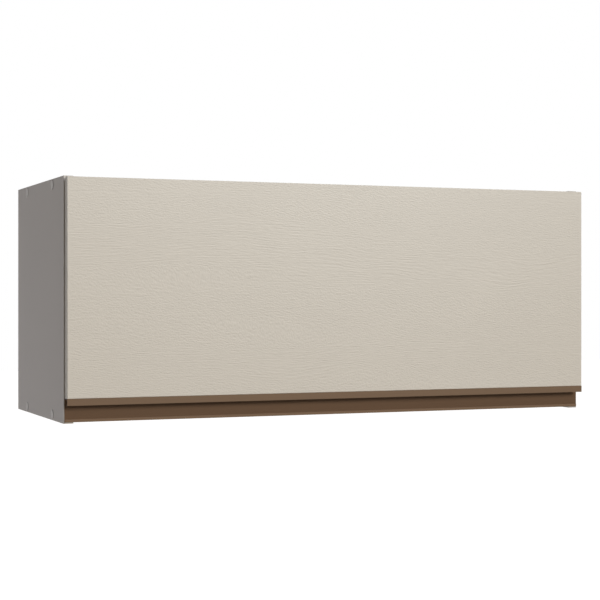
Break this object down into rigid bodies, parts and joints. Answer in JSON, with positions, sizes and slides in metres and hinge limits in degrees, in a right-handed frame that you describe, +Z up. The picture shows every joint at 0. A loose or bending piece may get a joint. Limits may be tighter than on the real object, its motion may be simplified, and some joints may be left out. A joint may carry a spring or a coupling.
{
  "type": "lift up wall cabinet",
  "caption": "Wide, low wall cabinet whose front lifts up on concealed cup hinges and lever stays, with a brown finger pull and rail below.",
  "frame": {"origin": "middle of the box's base: the width's middle, halfway from the door's face to the rear, at the side panels' lower edges", "axes": "+X to the cabinet's right as seen from the front, -Y out of the door, +Z up"},
  "size_m": [0.9014, 0.352, 0.374],
  "materials": {
    "carcass_board": "cream melamine on chipboard, smooth and satin",
    "door_board": "cream laminate with a fine embossed horizontal grain, satin",
    "back_board": "thin painted fibreboard, matt",
    "brown_profile": "brown anodised, satin",
    "brown_rail": "brown, satin",
    "hinge_steel": "nickel plated, satin",
    "stay_steel": "nickel plated, satin",
    "screw_steel": "zinc plated",
    "cap_plastic": "cream, smooth",
    "stay_plastic": "light grey, fine grain",
    "bumper_plastic": "pale, soft"
  },
  "bodies": {
    "carcass": {"left_side_panel": "carcass_board", "right_side_panel": "carcass_board", "top_panel": "carcass_board", "bottom_panel": "carcass_board", "back_panel": "back_board", "hanging_rail": "carcass_board", "finger_rail": "brown_rail", "left_carcass_screw_1": "screw_steel", "left_screw_cap_1": "cap_plastic", "left_carcass_screw_2": "screw_steel", "left_screw_cap_2": "cap_plastic", "left_carcass_screw_3": "screw_steel", "left_screw_cap_3": "cap_plastic", "left_carcass_screw_4": "screw_steel", "left_screw_cap_4": "cap_plastic", "left_hinge_plate": "hinge_steel", "left_hinge_arm": "hinge_steel", "left_arm_screw": "screw_steel", "left_plate_screw_1": "screw_steel", "left_plate_screw_2": "screw_steel", "left_stay_housing": "stay_plastic", "left_stay_pivot_pin": "hinge_steel", "right_carcass_screw_1": "screw_steel", "right_screw_cap_1": "cap_plastic", "right_carcass_screw_2": "screw_steel", "right_screw_cap_2": "cap_plastic", "right_carcass_screw_3": "screw_steel", "right_screw_cap_3": "cap_plastic", "right_carcass_screw_4": "screw_steel", "right_screw_cap_4": "cap_plastic", "right_hinge_plate": "hinge_steel", "right_hinge_arm": "hinge_steel", "right_arm_screw": "screw_steel", "right_plate_screw_1": "screw_steel", "right_plate_screw_2": "screw_steel", "right_stay_housing": "stay_plastic", "right_stay_pivot_pin": "hinge_steel"},
    "door": {"door_panel": "door_board", "pull_profile": "brown_profile", "left_door_bumper": "bumper_plastic", "right_door_bumper": "bumper_plastic", "left_hinge_cup": "hinge_steel", "left_hinge_pin": "hinge_steel", "left_cup_screw_1": "screw_steel", "left_cup_screw_2": "screw_steel", "left_stay_door_bracket": "stay_steel", "left_stay_door_rivet": "hinge_steel", "right_hinge_cup": "hinge_steel", "right_hinge_pin": "hinge_steel", "right_cup_screw_1": "screw_steel", "right_cup_screw_2": "screw_steel", "right_stay_door_bracket": "stay_steel", "right_stay_door_rivet": "hinge_steel"},
    "left_stay_lever": {"left_stay_lever": "stay_steel", "left_stay_elbow_rivet": "hinge_steel"},
    "left_stay_link": {"left_stay_link": "stay_steel"},
    "right_stay_lever": {"right_stay_lever": "stay_steel", "right_stay_elbow_rivet": "hinge_steel"},
    "right_stay_link": {"right_stay_link": "stay_steel"}
  },
  "joints": [
    {"name": "door_lift", "type": "hinge", "parent": "carcass", "child": "door", "pos_m": [0, -0.17, 0.3639], "axis": [-1, 0, 0], "range_deg": [0, 90]},
    {"name": "left_lever_turn", "type": "hinge", "parent": "carcass", "child": "left_stay_lever", "pos_m": [-0.41785, -0.08543, 0.33312], "axis": [-1, 0, 0], "range_deg": [0, 90]},
    {"name": "left_link_turn", "type": "hinge", "parent": "left_stay_lever", "child": "left_stay_link", "pos_m": [-0.4145, -0.06243, 0.24312], "axis": [-1, 0, 0], "range_deg": [-90, 0]},
    {"name": "right_lever_turn", "type": "hinge", "parent": "carcass", "child": "right_stay_lever", "pos_m": [0.41785, -0.08543, 0.33312], "axis": [-1, 0, 0], "range_deg": [0, 90]},
    {"name": "right_link_turn", "type": "hinge", "parent": "right_stay_lever", "child": "right_stay_link", "pos_m": [0.4145, -0.06243, 0.24312], "axis": [-1, 0, 0], "range_deg": [-90, 0]}
  ],
  "couplings": [
    {"joint": "left_lever_turn", "follows": "door_lift", "ratio": 1},
    {"joint": "left_link_turn", "follows": "door_lift", "ratio": -1},
    {"joint": "right_lever_turn", "follows": "door_lift", "ratio": 1},
    {"joint": "right_link_turn", "follows": "door_lift", "ratio": -1}
  ]
}
